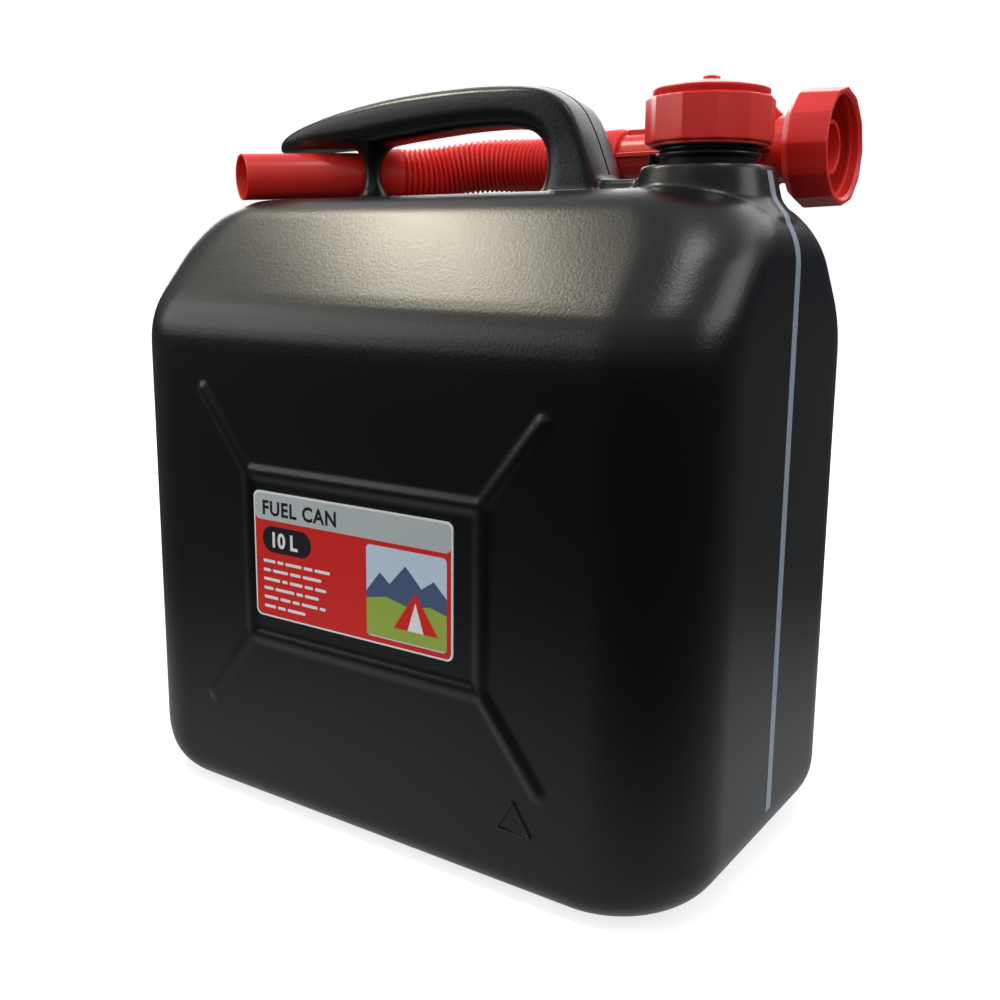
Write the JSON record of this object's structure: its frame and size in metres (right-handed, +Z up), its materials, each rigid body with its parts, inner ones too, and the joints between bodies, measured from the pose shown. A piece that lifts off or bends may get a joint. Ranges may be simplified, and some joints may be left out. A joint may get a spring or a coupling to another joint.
{
  "type": "fuel can",
  "caption": "Blow-moulded fuel can with a carrying handle, a screw cap on its threaded neck, and a flexible pouring spout stored behind and under the handle.",
  "frame": {"origin": "centre of the can's flat base", "axes": "+Z up, +X towards the filler neck, -Y towards the side with the label"},
  "size_m": [0.29, 0.1726, 0.315],
  "materials": {
    "black_polyethylene": "fine-grained satin moulded plastic",
    "translucent_stripe": "translucent plastic",
    "printed_label": "printed film",
    "red_cap": "satin moulded plastic",
    "seal_rubber": "matt rubber",
    "red_nut": "satin moulded plastic",
    "red_base": "satin moulded plastic",
    "red_hose": "satin flexible plastic",
    "red_tip": "satin moulded plastic"
  },
  "bodies": {
    "can": {"can_body": "black_polyethylene", "level_stripe": "translucent_stripe", "label": "printed_label"},
    "cap_seal": {"cap_gasket": "seal_rubber"},
    "cap": {"filler_cap": "red_cap"},
    "spout": {"spout_base": "red_base", "spout_hose": "red_hose", "spout_gasket": "seal_rubber"},
    "nut": {"spout_nut": "red_nut"},
    "tip": {"spout_tip": "red_tip"}
  },
  "joints": [
    {"name": "cap_rise", "type": "slide", "parent": "can", "child": "cap_seal", "axis": [0, 0, 1], "range_m": [0, 0.00876]},
    {"name": "cap_turn", "type": "hinge", "parent": "cap_seal", "child": "cap", "pos_m": [0.107, 0, 0.3], "axis": [0, 0, 1], "range_deg": [0, 630]},
    {"name": "spout_draw", "type": "slide", "parent": "can", "child": "spout", "axis": [0.6687, 0.7427, 0.0349], "range_m": [0, 0.09]},
    {"name": "nut_spin", "type": "hinge", "parent": "spout", "child": "nut", "pos_m": [0.131, 0.058, 0.2885], "axis": [1, 0, 0], "continuous": true},
    {"name": "hose_bend", "type": "hinge", "parent": "spout", "child": "tip", "pos_m": [-0.0299, 0.0515, 0.2855], "axis": [0, 0, -1], "range_deg": [0, 48], "deforming": ["spout_hose"]}
  ],
  "couplings": [
    {"joint": "cap_rise", "follows": "cap_turn", "m_per_rad": 0.00079577},
    {"joint": "hose_bend", "follows": "spout_draw", "rad_per_m": 9.3}
  ]
}
